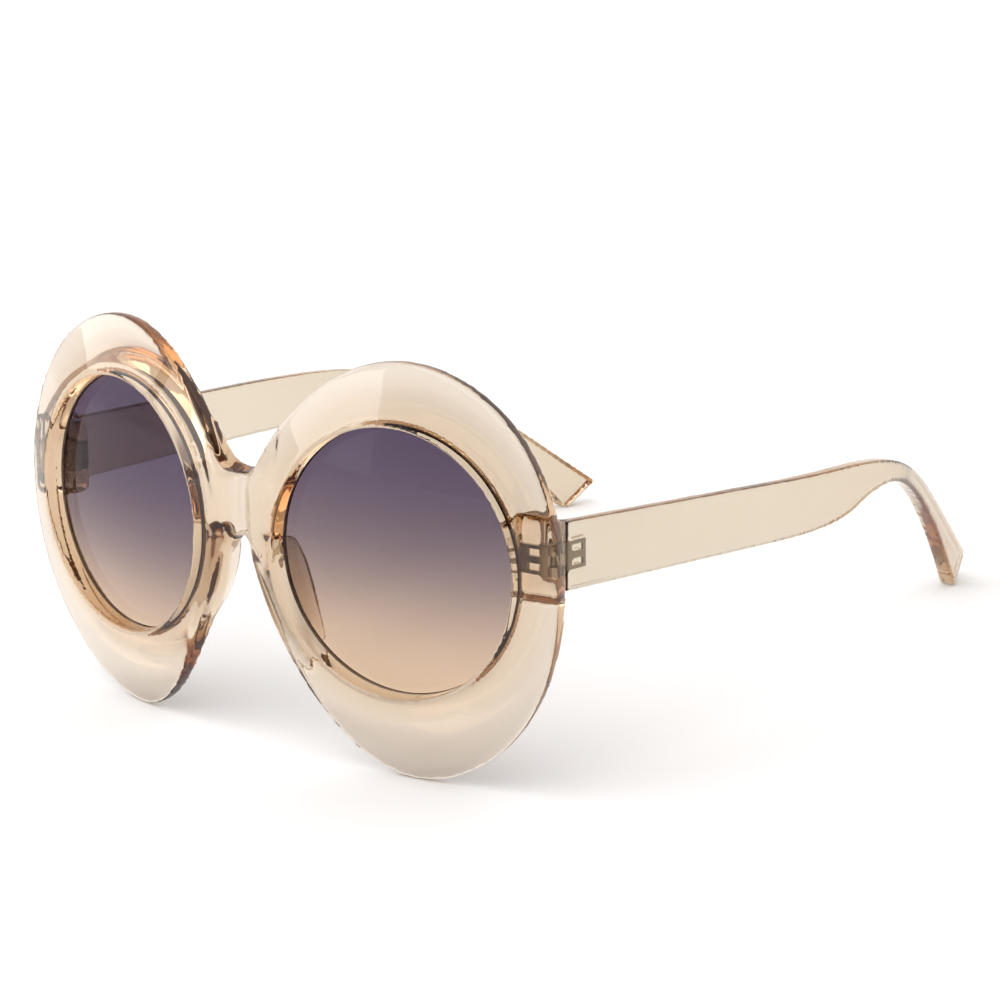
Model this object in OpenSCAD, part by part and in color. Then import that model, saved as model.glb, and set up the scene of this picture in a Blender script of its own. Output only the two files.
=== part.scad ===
// Oversized round sunglasses: one moulded front, two domed lenses, two moulded temples and two
// three-knuckle leaf hinges with their screws.
//
// The pieces are drawn with the front upright: X runs to the wearer's left, Y runs back towards the
// ears, Z runs up, and the zero height is the centre of the lenses. The whole pair is then laid on
// its rims and temple tips, centred over the origin.

/* [Lenses] */
// Diameter of the round opening in the face of each rim
opening_d = 48.6; // [47.6:0.2:49.2]
// Distance between the centres of the two lenses
lens_spacing = 68.2; // [67.8:0.1:68.8]
// Radius of the domed outer surface of a lens
lens_dome_r = 120; // [105:5:150]
// Thickness of a lens
lens_thick = 1.6; // [1.4:0.1:1.8]
// Width of lens edge that is held in the groove
lens_bite = 0.7; // [0.6:0.1:0.8]
// Depth of the lens edge below the face of the rim
lens_depth = 3.7; // [3.4:0.1:3.8]

/* [Rims] */
// Rim half width on the side of the temple
rim_temple = 32.5; // [32:0.1:33]
// Rim half width on the side of the nose, where it runs into the bridge
rim_nose = 32.9; // [32.4:0.1:33.2]
// Rim height above the lens centre
rim_top = 35.5; // [34.5:0.1:36.5]
// Rim height below the lens centre
rim_bottom = 40.4; // [39.4:0.2:41.4]
// Total thickness of the rim at the lens opening
rim_depth = 6; // [5.9:0.1:6.4]
// Slope of the rim face, as fall for each millimetre away from the lens
face_slope = 0.31; // [0.27:0.01:0.33]
// Angle by which each rim wraps back round the face
rim_wrap = 9.7; // [9:0.1:10.4]
// Distance that the rim face is set back behind the bridge plane at the lens centre
rim_set_back = 3.2; // [2.9:0.1:3.5]

/* [Bridge and nose pads] */
// Height of the lowest point of the saddle on top of the bridge
saddle_z = 11.7; // [10.5:0.1:12.5]
// Height of the arch over the nose
arch_z = 0.1; // [-0.4:0.1:0.8]
// Back of the bridge
bridge_back = 5.4; // [4.8:0.1:6.2]
// Distance back to the fullest point of the nose pads
pad_reach = 9.8; // [8.5:0.1:10.5]
// Height of the fullest point of the nose pads
pad_z = -10; // [-12:0.5:-9]

/* [Temples] */
// Thickness of a temple at the hinge
temple_thick = 2.3; // [2.2:0.1:2.8]
// Thickness of a temple at the tip
tip_thick = 3.6; // [2.5:0.1:4]
// Height of a temple where it meets the front
temple_height = 12.5; // [11.5:0.1:13.5]
// Height of the top edge of a temple at the hinge
temple_top = 9.9; // [9.4:0.1:10.5]
// Outward splay of the straight part of a temple
temple_splay = 6; // [4:0.1:7]
// Length of the straight part of a temple
straight_len = 54; // [45:1:60]
// Radius of the inward bow that follows the straight part
bow_r = 145; // [135:5:200]
// Length of the bow, which ends in a straight tail
bow_len = 56; // [30:1:60]
// Distance from the hinge to the back corner of the temple tip
tip_reach = 151; // [147:0.5:153]
// Height of the back corner of the temple tip
tip_back_z = -30.7; // [-31.5:0.1:-29]
// Width of the flat end of the temple tip
tip_w = 9.4; // [8:0.1:10]

/* [Hinges] */
// Distance of the hinge screw from the middle of the front
hinge_x = 60.6; // [60.4:0.1:60.8]
// Distance of the hinge screw behind the bridge plane
hinge_y = 16.7; // [16.6:0.1:17]
// Height of the middle of the hinge
hinge_z = 3.4; // [3:0.1:3.8]
// Height of one knuckle
knuckle_h = 1.8; // [1.6:0.1:1.9]
// Outer radius of a knuckle
knuckle_r = 1.3; // [1.2:0.05:1.4]
// Thickness of the leaf plates
leaf_thick = 0.8; // [0.7:0.05:0.9]
// Height of the leaf plates
leaf_h = 5; // [4.6:0.1:5.4]
// Radius of the screw shank
screw_r = 0.6; // [0.55:0.05:0.65]

/* [Hidden] */
$fn = 96;

frame_colour = "#e4d2bc";
lens_colour = "#7d6f84";
metal_colour = "#a79c88";

opening_r = opening_d / 2;
lens_r = opening_r + lens_bite;
lens_x = lens_spacing / 2;
// Clearance that lets one piece be cut out of another without sharing its surface
seat_gap = 0.03;
// Clearance between the front and a temple
body_gap = 0.3;
// Rounding of the edge of the lens opening
opening_round = 0.8;
// The rim face falls a little faster the farther it is from the lens
face_curve = 0.0005;
// The back of the rim swells into the lip that holds the lens
lip_run = 9;
lip_round = 0.3;
back_depth = 4.9;
back_curve = 0.008;
profile_r = 46;

// Outermost points of the rim outline, and how far the curve runs on straight at each of them
temple_point = [rim_temple, -0.6];
top_point = [1.4, rim_top];
nose_point = [-rim_nose, 6.3];
low_point = [2, -rim_bottom];
temple_pull = [25.5, 27];
top_pull = [13.6, 21.4];
nose_pull = 2.5;
low_pull = [22, 11.7];
quarter_steps = 36;

// Saddle and arch: a round bottom or top with straight flanks that run into the rims
saddle_r = 6.2;
saddle_flank = 54;
saddle_tilt = 18;
saddle_run = 9;
arch_r = 2.4;
arch_flank = 35;
arch_run = 5.3;
bridge_front = 1.3;
bridge_side = [[7, -5.2], [7, 8], [10, 16], [10.5, 20.5], [0, 20.5], [0, -2]];
bridge_plan = [[0, bridge_front], [5.5, bridge_front], [10, 2.4], [10.5, 4], [8, 5], [0, bridge_back]];
// Shallow valley down the face of the bridge
hollow_r = 6;
hollow_y = -4.4;

// Nose pad: section round the lens axis, and the straight edge that it ends in behind the lens
pad_r = 30.3;
pad_section = [[22, -5.6], [22, -11.6], [25.3, -11.6], [pad_r, -4], [pad_r, -3], [pad_r - 3.2, -3],
               [25.4, -5.6]];
pad_edge = [[-24.3, 0.4], [-18.4, -20]];
pad_top = [3, 3.2];
pad_bottom = [6.5, -29];

temple_low = temple_top - temple_height;
top_slope = 3.4;
low_slope = 2.2;
// Places along the temple, measured back from the hinge screw
bend_y = 75.5;
taper_y = 58.5;
neck = [93.9, -2];
top_turn = 36.3;
low_turn = 49;
tip_angle = 36.3;
tip_round = 1.8;
curve_steps = 19;
bow_steps = 29;
temple_len = 160;

barrel_h = 3 * knuckle_h + 0.2;
relief_r = knuckle_r + body_gap;
head_r = 1.1;
head_h = 0.7;
bore_gap = 0.05;
block_in = [54.6, 13.7];
block_rim = [58, 13.5];
block_edge_x = 64.2;
block_front_y = 10.5;
block_draft = 0.25;
front_leaf_x = [55.4, 61.3];
front_leaf_y = 14.2;
temple_leaf_y = [1.6, 5.7];
window = [2.7, 1.3];
window_z = 1.25;
lug_w = 1.3;

function bezier_point(a, b, c, d, t) =
    pow(1 - t, 3) * a + 3 * pow(1 - t, 2) * t * b + 3 * (1 - t) * pow(t, 2) * c + pow(t, 3) * d;
function bezier(a, b, c, d, steps) = [for (i = [0:steps]) bezier_point(a, b, c, d, i / steps)];

function ahead(p, angle, length) = p + length * [cos(angle), sin(angle)];

// Rim outline, seen from the front with the temple to the right
function quarter(a, b, c, d) = [
    for (i = [0:quarter_steps - 1]) bezier_point(a, b, c, d, i / quarter_steps)
];
rim_outline = concat(
    quarter(temple_point, temple_point + [0, temple_pull[0]], top_point + [top_pull[0], 0], top_point),
    quarter(top_point, top_point - [top_pull[1], 0], nose_point + [0, nose_pull], nose_point),
    quarter(nose_point, nose_point - [0, nose_pull], low_point - [low_pull[0], 0], low_point),
    quarter(low_point, low_point + [low_pull[1], 0], temple_point - [0, temple_pull[1]], temple_point)
);

// Section of the rim: height of its face and of its back, over the distance from the lens axis
function face_h(r) = -face_slope * (r - opening_r) - face_curve * pow(r - opening_r, 2);
function lip_swell(r) = (1 + cos(180 * min(1, (r - opening_r) / lip_run))) / 2;
function back_h(r) = -back_depth - back_curve * pow(r - opening_r, 2)
    - (rim_depth - back_depth) * lip_swell(r);
rim_section = concat(
    [for (a = [180:-15:105])
        [opening_r + opening_round * (1 + cos(a)), opening_round * (sin(a) - 1)]],
    [for (r = [opening_r + opening_round:2:profile_r]) [r, face_h(r)]],
    [for (r = [profile_r:-1:opening_r + 1]) [r, back_h(r)]],
    [for (a = [270:-30:180])
        [opening_r + lip_round * (1 + cos(a)), -rim_depth + lip_round * (1 + sin(a))]]
);

// Side view of the nose pads, over the distance back from the bridge plane
pad_full = [pad_reach, pad_z];
pad_side = concat(
    [[-6, pad_top[1]]],
    bezier(pad_top, pad_top + [5.4, -1.6], pad_full + [0, 6.5], pad_full, curve_steps),
    bezier(pad_full, pad_full - [0, 8], pad_bottom + [3.5, 8], pad_bottom, curve_steps),
    [[-6, pad_bottom[1]]]
);

// Side view of the temple, measured back from the hinge screw
temple_front = body_gap / 2;
bend = [bend_y, temple_top - tan(top_slope) * bend_y];
taper = [taper_y, temple_low - tan(low_slope) * taper_y];
tip_back = [tip_reach, tip_back_z];
tip_low = ahead(tip_back, 180 + tip_angle, tip_w);
tip_back_in = ahead(tip_back, 180 - top_turn, tip_round);
tip_low_in = ahead(tip_low, 180 - low_turn, tip_round);
temple_side = concat(
    [[temple_front, temple_top]],
    bezier(bend, ahead(bend, -top_slope, 34), ahead(tip_back, 180 - top_turn, 41.6), tip_back_in,
        curve_steps),
    bezier(tip_back_in, tip_back, tip_back, ahead(tip_back, 180 + tip_angle, tip_round), 4),
    bezier(ahead(tip_low, tip_angle, tip_round), tip_low, tip_low, tip_low_in, 4),
    bezier(tip_low_in, ahead(tip_low, 180 - low_turn, 24.3), neck + [15.9, 0], neck, curve_steps),
    bezier(neck, neck - [15, 0], ahead(taper, -low_slope, 27.5), taper, curve_steps),
    [[temple_front, temple_low]]
);

// Top view of the temple, measured from the hinge screw before it is splayed. The outer side is
// straight, bowed and straight again, and the inner side follows it at the growing thickness.
temple_inner = body_gap / 2 + 0.05;
temple_outer = temple_inner + temple_thick;
stations = concat([-3, straight_len],
    [for (i = [1:bow_steps]) straight_len + i * bow_len / bow_steps],
    [temple_len]);
function bow_angle(length) = min(max(0, length - straight_len), bow_len) / bow_r * 180 / PI;
function tail_len(length) = max(0, length - straight_len - bow_len);
function thickness(length) = temple_thick
    + (tip_thick - temple_thick) * max(0, length - straight_len) / (tip_reach - straight_len);
function outer_point(length) =
    let (a = bow_angle(length), t = tail_len(length))
    [temple_outer - bow_r * (1 - cos(a)) - t * sin(a),
     min(length, straight_len) + bow_r * sin(a) + t * cos(a)];
function inner_point(length) =
    outer_point(length) - thickness(length) * [cos(bow_angle(length)), sin(bow_angle(length))];
temple_plan = concat(
    [for (length = stations) outer_point(length)],
    [for (i = [len(stations) - 1:-1:0]) inner_point(stations[i])]
);

// Resting place on the table: the lowest points of the rims and of the temple tips touch it
rim_low = [
    rim_set_back + low_point[0] * sin(rim_wrap) - back_h(norm(low_point)) * cos(rim_wrap),
    -rim_bottom
];
rest_lean = min([
    for (p = temple_side)
        if (p[0] > neck[0]) atan((p[1] - rim_low[1]) / (hinge_y + p[0] - rim_low[0]))
]);
rest_height = rim_bottom * cos(rest_lean) + rim_low[0] * sin(rest_lean);
rest_y = 82.66;

module at_rest() {
    translate([0, -rest_y, rest_height])
        rotate([-rest_lean, 0, 0])
            children();
}

// Left pieces are drawn on the side of positive X, right pieces are their mirror images
module right_side() {
    mirror([1, 0, 0])
        children();
}

// Places a section or outline on the axis of the wearer's left lens, face up towards the front
module on_lens_axis() {
    translate([lens_x, rim_set_back, 0])
        rotate([0, 0, rim_wrap])
            rotate([90, 0, 0])
                children();
}

module at_hinge() {
    translate([hinge_x, hinge_y, hinge_z])
        children();
}

module lens_blank(gap) {
    edge_rise = lens_dome_r - sqrt(pow(lens_dome_r, 2) - pow(lens_r, 2));
    translate([0, 0, -lens_depth + edge_rise - lens_dome_r])
        difference() {
            intersection() {
                sphere(r = lens_dome_r + gap);
                translate([0, 0, lens_dome_r - 2 * edge_rise - lens_thick])
                    cylinder(r = lens_r + gap, h = 4 * edge_rise);
            }
            sphere(r = lens_dome_r - lens_thick - gap);
        }
}

module rim() {
    on_lens_axis()
        intersection() {
            translate([0, 0, -14])
                linear_extrude(height = 18)
                    polygon(rim_outline);
            rotate_extrude()
                polygon(rim_section);
        }
}

// The pad is part of the rim on the nose side and runs back past the lens
module nose_pad() {
    intersection() {
        on_lens_axis()
            intersection() {
                translate([0, 0, -14])
                    linear_extrude(height = 18)
                        intersection() {
                            polygon(rim_outline);
                            polygon(concat(pad_edge, [[pad_edge[1][0], -45], [-45, -45], [-45, pad_edge[0][1]]]));
                        }
                rotate_extrude()
                    polygon(pad_section);
            }
        rotate([90, 0, 90])
            linear_extrude(height = 40)
                polygon(pad_side);
    }
}

// Saddle cut on top of the bridge, and arch cut over the nose: the flanks touch the round part
module saddle_cut() {
    edge = saddle_r * [sin(saddle_flank), -cos(saddle_flank)];
    flank = saddle_run * [cos(saddle_flank), sin(saddle_flank)];
    circle(r = saddle_r);
    polygon([[-edge[0], edge[1]], edge, edge + flank, [-edge[0] - flank[0], edge[1] + flank[1]]]);
}

module arch_cut() {
    edge = arch_r * [cos(arch_flank), sin(arch_flank)];
    flank = arch_run * [sin(arch_flank), -cos(arch_flank)];
    circle(r = arch_r);
    polygon([[-edge[0], edge[1]], edge, edge + flank, [-edge[0] - flank[0], edge[1] + flank[1]]]);
}

// Half of the bridge, between the saddle and the arch
module half_bridge() {
    difference() {
        intersection() {
            translate([0, 10, 0])
                rotate([90, 0, 0])
                    linear_extrude(height = 12)
                        polygon(bridge_side);
            translate([0, 0, -10])
                linear_extrude(height = 40)
                    polygon(bridge_plan);
        }
        translate([0, bridge_front, saddle_z + saddle_r])
            rotate([90 + saddle_tilt, 0, 0])
                linear_extrude(height = 24, center = true)
                    saddle_cut();
        translate([0, bridge_front, arch_z - arch_r])
            rotate([90, 0, 0])
                linear_extrude(height = 24, center = true)
                    arch_cut();
    }
}

// Block behind the rim that carries the hinge: it grows a little towards the rim
module end_piece() {
    end_y = hinge_y - body_gap / 2;
    draft = block_draft * (end_y - block_front_y);
    intersection() {
        translate([0, 0, -20])
            linear_extrude(height = 50)
                polygon([
                    [block_rim[0], block_front_y],
                    block_rim,
                    block_in,
                    [block_in[0], end_y],
                    [hinge_x + temple_outer, end_y],
                    [block_edge_x - 0.3, 15],
                    [block_edge_x, 13],
                    [block_edge_x - 1, block_front_y]
                ]);
        rotate([90, 0, 90])
            linear_extrude(height = 90)
                polygon([
                    [block_front_y, temple_low - draft],
                    [end_y, temple_low],
                    [end_y, temple_top],
                    [block_front_y, temple_top + draft]
                ]);
    }
}

// Plate of a leaf with its two windows: the plastic fills the windows and holds the plate
module leaf_plate(size, gap) {
    difference() {
        translate([-gap, -gap, -size[2] / 2 - gap])
            cube(size + 2 * gap * [1, 1, 1]);
        for (side = [-1, 1])
            translate([(size[0] - window[0]) / 2 + gap, -1, side * window_z - window[1] / 2 + gap])
                cube([window[0] - 2 * gap, size[1] + 2, window[1] - 2 * gap]);
    }
}

module front_leaf_body(gap) {
    translate([front_leaf_x[0], front_leaf_y, hinge_z])
        leaf_plate([front_leaf_x[1] - front_leaf_x[0], leaf_thick, leaf_h], gap);
    for (side = [-1, 1])
        translate([hinge_x, hinge_y, hinge_z + side * (knuckle_h + 0.1) - knuckle_h / 2]) {
            translate([-knuckle_r - gap, front_leaf_y + leaf_thick / 2 - hinge_y, -gap])
                cube([2 * (knuckle_r + gap), hinge_y - front_leaf_y - leaf_thick / 2, knuckle_h + 2 * gap]);
            translate([0, 0, -gap])
                cylinder(r = knuckle_r + gap, h = knuckle_h + 2 * gap);
        }
}

module temple_leaf_body(gap) {
    rotate([0, 0, -temple_splay]) {
        translate([temple_inner, temple_leaf_y[0], 0])
            rotate([0, 0, 90])
                mirror([0, 1, 0])
                    leaf_plate([temple_leaf_y[1] - temple_leaf_y[0], leaf_thick, leaf_h], gap);
        translate([temple_inner + leaf_thick - lug_w - gap, 0, -knuckle_h / 2 - gap])
            cube([lug_w + 2 * gap, temple_leaf_y[0] + 1, knuckle_h + 2 * gap]);
    }
    translate([0, 0, -knuckle_h / 2 - gap])
        cylinder(r = knuckle_r + gap, h = knuckle_h + 2 * gap);
}

// Round clearance for the barrel, open at the top so that the screw can be put in
module barrel_relief() {
    translate([0, 0, -barrel_h / 2 - 0.6])
        cylinder(r = relief_r, h = barrel_h + temple_height);
}

module half_front() {
    difference() {
        union() {
            intersection() {
                union() {
                    rim();
                    nose_pad();
                    half_bridge();
                }
                translate([0, -20, -60])
                    cube([90, 60, 120]);
            }
            end_piece();
        }
        translate([0, hollow_y, -60])
            cylinder(r = hollow_r, h = 120);
        on_lens_axis()
            lens_blank(seat_gap);
        front_leaf_body(seat_gap);
        at_hinge()
            barrel_relief();
    }
}

module front_frame() {
    color(frame_colour)
        at_rest()
            union() {
                half_front();
                right_side()
                    half_front();
            }
}

module lens() {
    color(lens_colour)
        on_lens_axis()
            lens_blank(0);
}

module temple() {
    color(frame_colour)
        difference() {
            intersection() {
                translate([0, hinge_y, 0])
                    rotate([90, 0, 90])
                        linear_extrude(height = 90)
                            polygon(temple_side);
                translate([hinge_x, hinge_y, -60])
                    rotate([0, 0, -temple_splay])
                        linear_extrude(height = 100)
                            polygon(temple_plan);
            }
            at_hinge() {
                temple_leaf_body(seat_gap);
                barrel_relief();
            }
        }
}

module front_leaf() {
    color(metal_colour)
        difference() {
            front_leaf_body(0);
            at_hinge()
                translate([0, 0, -barrel_h])
                    cylinder(r = screw_r + seat_gap, h = 2 * barrel_h);
        }
}

module temple_leaf() {
    color(metal_colour)
        at_hinge()
            difference() {
                temple_leaf_body(0);
                translate([0, 0, -barrel_h])
                    cylinder(r = screw_r + bore_gap, h = 2 * barrel_h);
            }
}

module hinge_screw() {
    color(metal_colour)
        at_hinge()
            difference() {
                union() {
                    translate([0, 0, -barrel_h / 2 - 0.4])
                        cylinder(r = screw_r, h = barrel_h + 0.5);
                    translate([0, 0, barrel_h / 2])
                        cylinder(r = head_r, h = head_h);
                }
                translate([-head_r - 1, -0.15, barrel_h / 2 + head_h - 0.35])
                    cube([2 * head_r + 2, 0.3, 1]);
            }
}

module left_lens() {
    at_rest()
        lens();
}

module right_lens() {
    at_rest()
        right_side()
            lens();
}

module left_temple() {
    at_rest()
        temple();
}

module right_temple() {
    at_rest()
        right_side()
            temple();
}

module left_front_leaf() {
    at_rest()
        front_leaf();
}

module right_front_leaf() {
    at_rest()
        right_side()
            front_leaf();
}

module left_temple_leaf() {
    at_rest()
        temple_leaf();
}

module right_temple_leaf() {
    at_rest()
        right_side()
            temple_leaf();
}

module left_hinge_screw() {
    at_rest()
        hinge_screw();
}

module right_hinge_screw() {
    at_rest()
        right_side()
            hinge_screw();
}

front_frame();
left_lens();
right_lens();
left_temple();
right_temple();
left_front_leaf();
right_front_leaf();
left_temple_leaf();
right_temple_leaf();
left_hinge_screw();
right_hinge_screw();
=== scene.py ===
import math

import bpy
from mathutils import Euler, Matrix, Vector


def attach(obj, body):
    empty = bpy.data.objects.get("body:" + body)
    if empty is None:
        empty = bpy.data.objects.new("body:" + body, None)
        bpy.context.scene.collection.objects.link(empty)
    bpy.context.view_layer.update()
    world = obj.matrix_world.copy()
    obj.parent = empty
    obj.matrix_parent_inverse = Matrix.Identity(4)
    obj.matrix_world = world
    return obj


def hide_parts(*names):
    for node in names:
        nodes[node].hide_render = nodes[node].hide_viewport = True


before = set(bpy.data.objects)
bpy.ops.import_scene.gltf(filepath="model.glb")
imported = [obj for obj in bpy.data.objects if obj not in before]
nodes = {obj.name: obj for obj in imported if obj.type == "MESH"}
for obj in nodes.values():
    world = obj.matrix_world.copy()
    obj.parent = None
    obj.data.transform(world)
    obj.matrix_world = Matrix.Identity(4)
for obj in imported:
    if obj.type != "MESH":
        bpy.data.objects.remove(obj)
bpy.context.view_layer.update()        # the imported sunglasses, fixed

mm = 0.001
print("frame loaded:", len(nodes), "pieces")

# from the upright drawing in part.scad to the pair as it stands on its rims and tips
rest = {
    "lean": math.radians(-1.69773),
    "back": 82.66 * mm,
    "height": 40.6911 * mm,
}
toRest = (Matrix.Translation((0, -rest["back"], rest["height"]))
          @ Matrix.Rotation(rest["lean"], 4, "X"))
fromRest = toRest.inverted()


def pick(piece):
    bpy.ops.object.select_all(action="DESELECT")
    piece.select_set(True)
    bpy.context.view_layer.objects.active = piece


def startEdit(piece):
    pick(piece)
    bpy.ops.object.mode_set(mode="EDIT")
    bpy.ops.mesh.select_all(action="SELECT")


def endEdit():
    bpy.ops.object.mode_set(mode="OBJECT")


def settle(piece, place):
    # the piece's place goes into its mesh
    piece.matrix_world = place
    pick(piece)
    bpy.ops.object.transform_apply(location=True, rotation=True, scale=True)


def applyModifier(piece, kind, **values):
    pick(piece)
    modifier = piece.modifiers.new(kind.title(), kind)
    for name, value in values.items():
        setattr(modifier, name, value)
    bpy.ops.object.modifier_apply(modifier=modifier.name)


def addNode(tree, kind, inputs, **values):
    # each input is fed with a value or with the output of another node
    node = tree.nodes.new("ShaderNode" + kind)
    for name, value in values.items():
        setattr(node, name, value)
    for key, value in inputs.items():
        if isinstance(value, bpy.types.NodeSocket):
            tree.links.new(value, node.inputs[key])
        else:
            node.inputs[key].default_value = value
    return node


def newFinish(name):
    finish = bpy.data.materials.new(name)
    finish.use_nodes = True
    return finish


# camera, at the photograph's viewing angle
camera = {
    "aim": (35.82 * mm, -50.683 * mm, 45.966 * mm),
    "distance": 549.43 * mm,
    "azimuth": 39.994,
    "elevation": 15.994,
    "roll": -1.531,
    "lens": 110.05,
    "sensor": 36,
    "clip": (0.01, 20),
}


def makeCamera():
    bpy.ops.object.camera_add()
    cam = bpy.context.object
    cam.name = "photoCamera"
    turn = (Matrix.Rotation(math.radians(camera["azimuth"]), 4, "Z")
            @ Matrix.Rotation(math.radians(90 - camera["elevation"]), 4, "X")
            @ Matrix.Rotation(math.radians(camera["roll"]), 4, "Z"))
    back = turn @ Vector((0, 0, camera["distance"]))
    cam.matrix_world = Matrix.Translation(Vector(camera["aim"]) + back) @ turn
    cam.data.lens = camera["lens"]
    cam.data.sensor_width = camera["sensor"]
    cam.data.clip_start, cam.data.clip_end = camera["clip"]
    bpy.context.scene.camera = cam


makeCamera()
print("camera placed")

# pale table, soft lights and a white studio that is dark on the right of the camera
studio = {
    "tableSize": 6.0,
    "tableTop": -0.05 * mm,
    "tableColour": (0.93, 0.93, 0.93),
    "tableRoughness": 0.9,
    "tableGloss": 0.1,
    "white": (1, 1, 1),
    "dark": (0.10, 0.04, 0.018),
    "darkSide": (0.78, -0.60, 0.15),
    "darkEdge": (0.15, 0.5),
    "sun": (35, 20),
    "sunPower": 1.85,
    "sunWidth": 70,
    "boxes": [
        # name, place, size and power
        ("leftBox", (-0.75, -0.35, 0.4), 0.6, 2.2),
        ("glareCard", (-0.52, -0.80, 0.22), 0.36, 1.0),
    ],
    # light crosses many faces of the clear plastic
    "cycles": {
        "max_bounces": 24,
        "transmission_bounces": 24,
        "glossy_bounces": 12,
        "transparent_max_bounces": 24,
        "sample_clamp_indirect": 6,
    },
}


def makeTable():
    bpy.ops.mesh.primitive_plane_add(size=studio["tableSize"],
                                     location=(0, 0, studio["tableTop"]))
    table = bpy.context.object
    table.name = "paleTable"
    finish = newFinish("paleTable")
    shader = finish.node_tree.nodes["Principled BSDF"]
    shader.inputs["Base Color"].default_value = (*studio["tableColour"], 1)
    shader.inputs["Roughness"].default_value = studio["tableRoughness"]
    shader.inputs["Specular IOR Level"].default_value = studio["tableGloss"]
    table.data.materials.append(finish)


def makeLights():
    for name, place, size, power in studio["boxes"]:
        bpy.ops.object.light_add(type="AREA", location=place)
        box = bpy.context.object
        box.name = name
        box.data.shape = "SQUARE"
        box.data.size = size
        box.data.energy = power
        box.rotation_euler = (-Vector(place)).to_track_quat("-Z", "Y").to_euler()
        box.visible_camera = False
    tilt, turn = studio["sun"]
    bpy.ops.object.light_add(type="SUN",
                             rotation=(math.radians(tilt), 0, math.radians(turn)))
    ceiling = bpy.context.object
    ceiling.name = "softCeiling"
    ceiling.data.energy = studio["sunPower"]
    ceiling.data.angle = math.radians(studio["sunWidth"])


def makeWorld():
    world = bpy.data.worlds.new("studio")
    bpy.context.scene.world = world
    world.use_nodes = True
    tree = world.node_tree
    low, high = studio["darkEdge"]
    place = addNode(tree, "TexCoord", {})
    towards = addNode(tree, "VectorMath", {
        0: place.outputs["Generated"],
        1: Vector(studio["darkSide"]).normalized(),
    }, operation="DOT_PRODUCT")
    fade = addNode(tree, "MapRange", {
        "Value": towards.outputs["Value"],
        "From Min": low,
        "From Max": high,
    }, interpolation_type="SMOOTHSTEP")
    # the camera itself sees plain white
    seen = addNode(tree, "LightPath", {})
    unseen = addNode(tree, "Math", {
        0: fade.outputs["Result"],
        1: seen.outputs["Is Camera Ray"],
    }, operation="SUBTRACT", use_clamp=True)
    mix = addNode(tree, "Mix", {
        "Factor": unseen.outputs[0],
        "A": (*studio["white"], 1),
        "B": (*studio["dark"], 1),
    }, data_type="RGBA")
    tree.links.new(mix.outputs["Result"], tree.nodes["Background"].inputs["Color"])


makeTable()
makeLights()
makeWorld()
bpy.context.scene.view_settings.view_transform = "Standard"
for name, value in studio["cycles"].items():
    setattr(bpy.context.scene.cycles, name, value)
print("studio made")

# shared effect: the slow drift, smear and ripple of moulded, ground and stamped surfaces
drift = {
    # scale, detail and stretch of each noise
    "flow": (45, 3, (1, 1, 0.35)),
    "smear": (140, 5, (0.4, 1, 1)),
    "ripple": (260, 1, (1, 1, 1)),
    "flowMiddle": 0.5,
    "smearPower": 3.0,
    "rippleDepth": 0.02 * mm,
    "sockets": [
        ("Colour", "INPUT", "Color"),
        ("Drift", "INPUT", "Float"),
        ("Smear", "INPUT", "Float"),
        ("Polish", "INPUT", "Float"),
        ("Colour", "OUTPUT", "Color"),
        ("Roughness", "OUTPUT", "Float"),
        ("Height", "OUTPUT", "Float"),
    ],
}


def makeDriftGroup():
    group = bpy.data.node_groups.new("mouldDrift", "ShaderNodeTree")
    for name, way, kind in drift["sockets"]:
        group.interface.new_socket(name, in_out=way, socket_type="NodeSocket" + kind)
    given = group.nodes.new("NodeGroupInput")
    made = group.nodes.new("NodeGroupOutput")
    place = addNode(group, "TexCoord", {})

    def noise(field):
        scale, detail, stretch = drift[field]
        turn = addNode(group, "Mapping", {
            "Vector": place.outputs["Object"],
            "Scale": stretch,
        })
        return addNode(group, "TexNoise", {
            "Vector": turn.outputs["Vector"],
            "Scale": scale,
            "Detail": detail,
        }).outputs["Fac"]

    def maths(operation, first, second):
        return addNode(group, "Math", {0: first, 1: second},
                       operation=operation).outputs[0]

    # the colour drifts a little to both sides of the given one
    offset = maths("SUBTRACT", noise("flow"), drift["flowMiddle"])
    offset = maths("MULTIPLY", offset, given.outputs["Drift"])
    tint = addNode(group, "VectorMath", {
        0: given.outputs["Colour"],
        "Scale": maths("ADD", offset, 1.0),
    }, operation="SCALE")
    haze = maths("POWER", noise("smear"), drift["smearPower"])
    haze = maths("MULTIPLY", haze, given.outputs["Smear"])
    group.links.new(tint.outputs[0], made.inputs["Colour"])
    group.links.new(maths("ADD", haze, given.outputs["Polish"]), made.inputs["Roughness"])
    group.links.new(noise("ripple"), made.inputs["Height"])
    return group


driftGroup = makeDriftGroup()


def addDrift(finish, settings, colour, shading):
    # colour is one tint or the output of a node
    tree = finish.node_tree
    effect = addNode(tree, "Group", {
        "Colour": colour,
        "Drift": settings["drift"],
        "Smear": settings["smear"],
        "Polish": settings["polish"],
    }, node_tree=driftGroup)
    bump = addNode(tree, "Bump", {
        "Strength": settings["ripple"],
        "Distance": drift["rippleDepth"],
        "Height": effect.outputs["Height"],
    })
    shader = tree.nodes["Principled BSDF"]
    for socket, value in shading.items():
        shader.inputs[socket].default_value = value
    tree.links.new(effect.outputs["Colour"], shader.inputs["Base Color"])
    tree.links.new(effect.outputs["Roughness"], shader.inputs["Roughness"])
    tree.links.new(bump.outputs["Normal"], shader.inputs["Normal"])


# champagne plastic: clear, tinted by the depth that the light crosses
plastic = {
    "front": (0.83, 0.80, 0.76),
    "arm": (0.745, 0.705, 0.62),
    "drift": 0.02,
    "smear": 0.10,
    "polish": 0.015,
    "ripple": 0.08,
    "depthColour": (0.78, 0.55, 0.25),
    "density": 130.0,
    "ior": 1.5,
}


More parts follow.
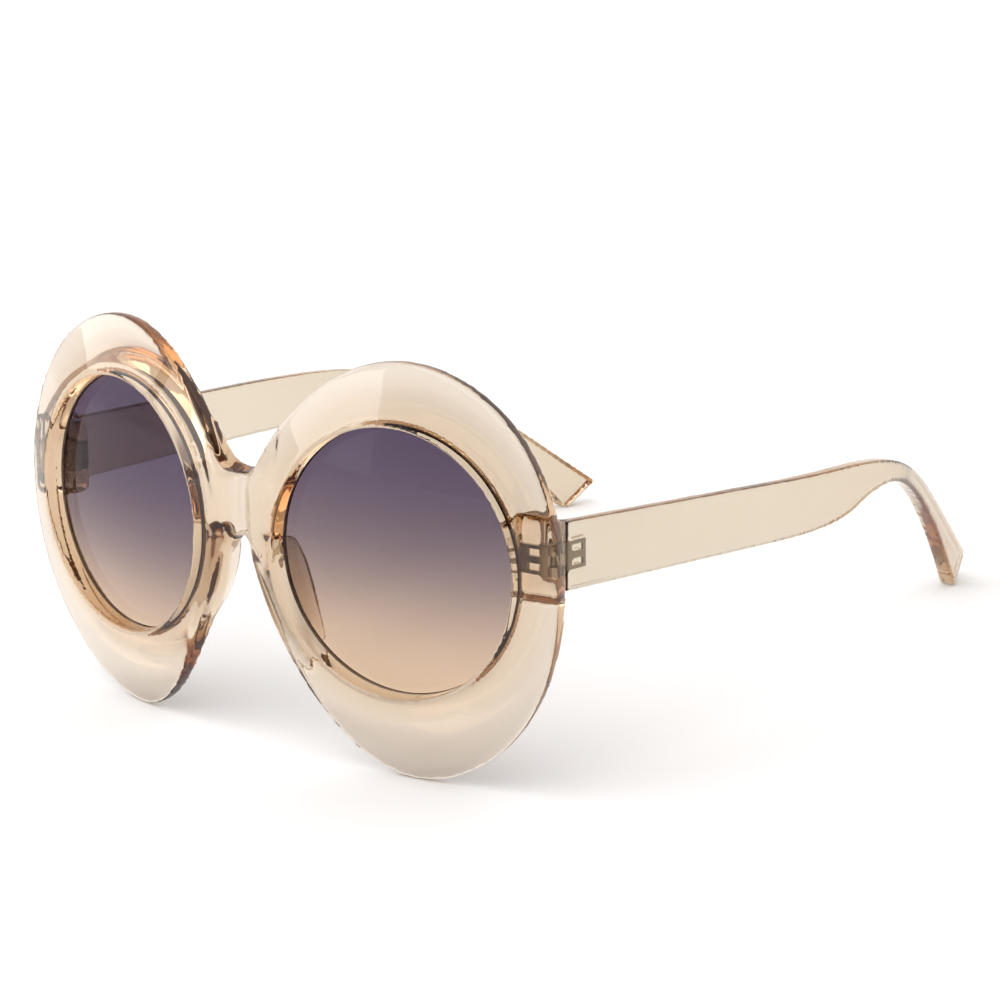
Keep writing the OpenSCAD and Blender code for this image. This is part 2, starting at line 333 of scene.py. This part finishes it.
def makePlastic(part):
    finish = newFinish(part + "Plastic")
    tree = finish.node_tree
    addDrift(finish, plastic, (*plastic[part], 1),
             {"Transmission Weight": 1, "IOR": plastic["ior"]})
    depth = addNode(tree, "VolumeAbsorption", {
        "Color": (*plastic["depthColour"], 1),
        "Density": plastic["density"],
    })
    tree.links.new(depth.outputs["Volume"], tree.nodes["Material Output"].inputs["Volume"])
    return finish


# lenses: place and size, and the groove in the rim that they sit in
lens = {
    "spacing": 68.2 * mm,
    "setBack": 3.2 * mm,
    "wrap": 9.7,
    "opening": 24.3 * mm,
    "radius": 24.5 * mm,
    "dome": 120 * mm,
    "thick": 1.6 * mm,
    "depth": 3.75 * mm,
    "sides": 160,
    "rings": 14,
    "bevel": 0.15 * mm,
    "bevelSteps": 2,
    "bevelAngle": math.radians(50),
    "smoothAngle": math.radians(35),
    # faces that lean more than this away from the lens axis are its edge
    "edgeFacing": 0.5,
    # front and back of the groove, along the lens axis
    "groove": (-3.3 * mm, -5.7 * mm),
    "grooveRadius": 25.3 * mm,
    "grooveSides": 192,
}

# lens glass, from the peach bottom to the smoky top
lensGlass = {
    "drift": 0.03,
    "smear": 0.01,
    "polish": 0.004,
    "ripple": 0.03,
    "ior": 1.15,
    # the dye of the right lens starts a little lower
    "drops": {"left": 0, "right": 8 * mm},
    "tints": [
        (0.00, (0.83, 0.63, 0.44)),
        (0.20, (0.67, 0.50, 0.38)),
        (0.42, (0.31, 0.24, 0.23)),
        (0.62, (0.16, 0.12, 0.15)),
        (0.80, (0.11, 0.085, 0.125)),
        (1.00, (0.09, 0.066, 0.108)),
    ],
}


def makeLensGlass(side):
    finish = newFinish(side + "GradientLens")
    tree = finish.node_tree
    drop = lensGlass["drops"][side]
    place = addNode(tree, "TexCoord", {})
    upright = addNode(tree, "Mapping", {
        "Vector": place.outputs["Object"],
        "Location": fromRest.to_translation(),
        "Rotation": (-rest["lean"], 0, 0),
    })
    parts = addNode(tree, "SeparateXYZ", {0: upright.outputs["Vector"]})
    height = addNode(tree, "MapRange", {
        "Value": parts.outputs["Z"],
        "From Min": -lens["radius"] - drop,
        "From Max": lens["radius"] - drop,
    })
    ramp = addNode(tree, "ValToRGB", {"Fac": height.outputs["Result"]})
    ramp.color_ramp.interpolation = "B_SPLINE"
    stops = ramp.color_ramp.elements
    while len(stops) < len(lensGlass["tints"]):
        stops.new(0.5)
    for stop, (where, tint) in zip(stops, lensGlass["tints"]):
        stop.position = where
        stop.color = (*tint, 1)
    addDrift(finish, lensGlass, ramp.outputs["Color"],
             {"Transmission Weight": 1, "IOR": lensGlass["ior"]})
    return finish


# ground edge of the lenses, painted dark brown: painted shade and painted reflection that
# give the dark ring seen through the plastic
lensEdgeShade = {
    "colour": (0.13, 0.055, 0.03),
    "drift": 0.6,
    "smear": 0.4,
    "polish": 0.45,
    "ripple": 0.5,
}


def makeLensEdgeShade():
    finish = newFinish("lensEdgePaintedShade")
    addDrift(finish, lensEdgeShade, (*lensEdgeShade["colour"], 1), {})
    return finish


# stamped nickel silver of the hinges
hingeMetal = {
    "colour": (0.42, 0.37, 0.30),
    "drift": 0.5,
    "smear": 0.5,
    "polish": 0.28,
    "ripple": 0.4,
}


def makeHingeMetal():
    finish = newFinish("hingeMetal")
    addDrift(finish, hingeMetal, (*hingeMetal["colour"], 1), {"Metallic": 1})
    return finish


finishes = {
    "front": makePlastic("front"),
    "arm": makePlastic("arm"),
    "metal": makeHingeMetal(),
    "leftLens": makeLensGlass("left"),
    "rightLens": makeLensGlass("right"),
    "lensEdgeShade": makeLensEdgeShade(),
}
print("materials made")


def dress(piece, finish):
    piece.data.materials.clear()
    piece.data.materials.append(finishes[finish])
    for face in piece.data.polygons:
        face.material_index = 0


def mirrorOf(mirror):
    return Matrix.Diagonal((mirror, 1, 1, 1))


def lensAxis(mirror):
    # local Z points out of the face of the rim
    return (toRest @ Matrix.Translation((mirror * lens["spacing"] / 2, lens["setBack"], 0))
            @ Matrix.Rotation(mirror * math.radians(lens["wrap"]), 4, "Z")
            @ Matrix.Rotation(math.radians(90), 4, "X"))


# moulded plastic pieces: the CAD solids with the soft edges and fillets that a mould gives
moulding = {
    # voxel size and smoothing rounds
    "front": (0.44 * mm, 9),
    "arm": (0.29 * mm, 16),
    "smoothing": 0.5,
    "merge": 0.002 * mm,
    "skew": (0.61, 0.37, 0.83),
    # the left hinge screw, and the angle at which the arm leaves it
    "hinge": (60.6 * mm, 16.7 * mm, 3.4 * mm),
    "splay": 6.0,
    # blocks, as two corners in mm
    "frontFills": [
        # air gap round the leaf in the end piece
        ((55.25, 14.05, 0.75), (61.45, 15.15, 6.05)),
        # the end piece squared, round the open channel of the hinge barrel
        ((55.2, 12.5, -3.4), (63.4, 15.05, 10.6)),
        ((55.2, 15.0, -3.4), (58.95, 16.3, 10.6)),
        ((62.25, 15.0, -3.4), (63.4, 16.3, 10.6)),
        ((55.2, 15.0, -3.4), (63.4, 16.3, -0.05)),
    ],
    # air gap round the leaf in the arm, measured from the hinge screw
    "armFill": ((0.5, 1.45, -2.65), (1.15, 5.85, 2.65)),
    "melts": [
        # centre and reach in mm, and rounds, of the places where one form blends into the
        # next: the saddle of the bridge and the root of the nose pads
        ((0, 3, 6), (13, 9, 15), 27),
        ((13, 7, -14), (9, 7, 20), 10),
    ],
    "meltRise": 2.5,
}


def softCopy(node, name):
    piece = bpy.data.objects.new(name, nodes[node].data.copy())
    bpy.context.scene.collection.objects.link(piece)
    startEdit(piece)
    bpy.ops.mesh.remove_doubles(threshold=moulding["merge"])
    endEdit()
    return piece


def join(piece, part):
    startEdit(part)
    bpy.ops.mesh.normals_make_consistent(inside=False)
    endEdit()
    pick(piece)
    part.select_set(True)
    bpy.ops.object.join()


def addBlock(piece, span, place):
    low, high = (Vector(corner) * mm for corner in span)
    bpy.ops.mesh.primitive_cube_add(size=1)
    block = bpy.context.object
    settle(block, place @ Matrix.Translation((low + high) / 2)
           @ Matrix.Diagonal((*(high - low), 1)))
    join(piece, block)


def fillGroove(piece, mirror):
    # the lens edge sits in the plastic without an air gap
    top, bottom = lens["groove"]
    bpy.ops.mesh.primitive_circle_add(vertices=lens["grooveSides"],
                                      radius=lens["grooveRadius"], fill_type="NGON")
    ring = bpy.context.object
    startEdit(ring)
    bpy.ops.mesh.inset(thickness=lens["grooveRadius"] - lens["opening"])
    bpy.ops.mesh.delete(type="FACE")
    bpy.ops.mesh.select_all(action="SELECT")
    bpy.ops.mesh.extrude_region_move(TRANSFORM_OT_translate={"value": (0, 0, top - bottom)})
    endEdit()
    settle(ring, lensAxis(mirror) @ Matrix.Translation((0, 0, bottom)))
    join(piece, ring)


def soften(piece, voxel, rounds):
    # meshed askew, so that no face or edge of the solid runs along the grid
    skew = Euler(moulding["skew"]).to_matrix().to_4x4()
    piece.data.transform(skew)
    applyModifier(piece, "REMESH", mode="VOXEL", voxel_size=voxel)
    applyModifier(piece, "SMOOTH", factor=moulding["smoothing"], iterations=rounds)
    piece.data.transform(skew.inverted())
    pick(piece)
    bpy.ops.object.shade_smooth()


def melt(piece, centre, reach, rounds):
    zone = piece.vertex_groups.new(name="melt")
    for point in piece.data.vertices:
        spot = fromRest @ point.co
        spot.x = abs(spot.x)
        away = math.sqrt(sum(((spot[k] - centre[k] * mm) / (reach[k] * mm)) ** 2
                             for k in range(3)))
        if away < 1:
            zone.add([point.index], min(1, (1 - away) * moulding["meltRise"]), "REPLACE")
    applyModifier(piece, "SMOOTH", factor=moulding["smoothing"], iterations=rounds,
                  vertex_group=zone.name)
    piece.vertex_groups.clear()


def handOver(piece, finish, body, node):
    dress(piece, finish)
    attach(piece, body)
    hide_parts(node)
    print(piece.name, "has", len(piece.data.polygons), "faces")


def makeFront():
    piece = softCopy("front_frame", "frontMoulding")
    for mirror in (1, -1):
        for span in moulding["frontFills"]:
            addBlock(piece, span, toRest @ mirrorOf(mirror))
        fillGroove(piece, mirror)
    soften(piece, *moulding["front"])
    for place in moulding["melts"]:
        melt(piece, *place)
    handOver(piece, "front", "front", "front_frame")


def makeArm(side, mirror):
    piece = softCopy(side + "_temple", side + "TempleArm")
    hinge = (Matrix.Translation(moulding["hinge"])
             @ Matrix.Rotation(math.radians(-moulding["splay"]), 4, "Z"))
    addBlock(piece, moulding["armFill"], toRest @ mirrorOf(mirror) @ hinge)
    soften(piece, *moulding["arm"])
    handOver(piece, "arm", side + "_temple", side + "_temple")


def makeLens(side, mirror):
    bpy.ops.mesh.primitive_circle_add(vertices=lens["sides"], radius=lens["radius"],
                                      fill_type="NGON")
    piece = bpy.context.object
    piece.name = side + "LensGlass"
    startEdit(piece)
    for ring in range(lens["rings"]):
        bpy.ops.mesh.inset(thickness=lens["radius"] / (lens["rings"] + 1))
    bpy.ops.mesh.poke()
    endEdit()
    rise = lens["dome"] - math.sqrt(lens["dome"] ** 2 - lens["radius"] ** 2)
    for point in piece.data.vertices:
        run = point.co.x ** 2 + point.co.y ** 2
        point.co.z = (math.sqrt(lens["dome"] ** 2 - run) - lens["dome"] + rise
                      - lens["depth"])
    applyModifier(piece, "SOLIDIFY", thickness=lens["thick"], offset=-1,
                  use_even_offset=True)
    applyModifier(piece, "BEVEL", width=lens["bevel"], segments=lens["bevelSteps"],
                  limit_method="ANGLE", angle_limit=lens["bevelAngle"])
    pick(piece)
    bpy.ops.object.shade_smooth_by_angle(angle=lens["smoothAngle"])
    edge = [face.index for face in piece.data.polygons
            if abs(face.normal.z) < lens["edgeFacing"]]
    settle(piece, lensAxis(mirror))
    dress(piece, side + "Lens")
    # the edge faces take the dark brown of painted shade and painted reflection
    piece.data.materials.append(finishes["lensEdgeShade"])
    for index in edge:
        piece.data.polygons[index].material_index = 1
    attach(piece, "front")
    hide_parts(side + "_lens")


sides = {"left": 1, "right": -1}
makeFront()
for side, mirror in sides.items():
    makeArm(side, mirror)
print("moulded pieces made")
for side, mirror in sides.items():
    makeLens(side, mirror)
print("lenses made")

# hinges: the CAD leaves and screws keep their shape
for side in sides:
    for part in ("front_leaf", "temple_leaf", "hinge_screw"):
        dress(nodes[side + "_" + part], "metal")
print("hinges dressed")
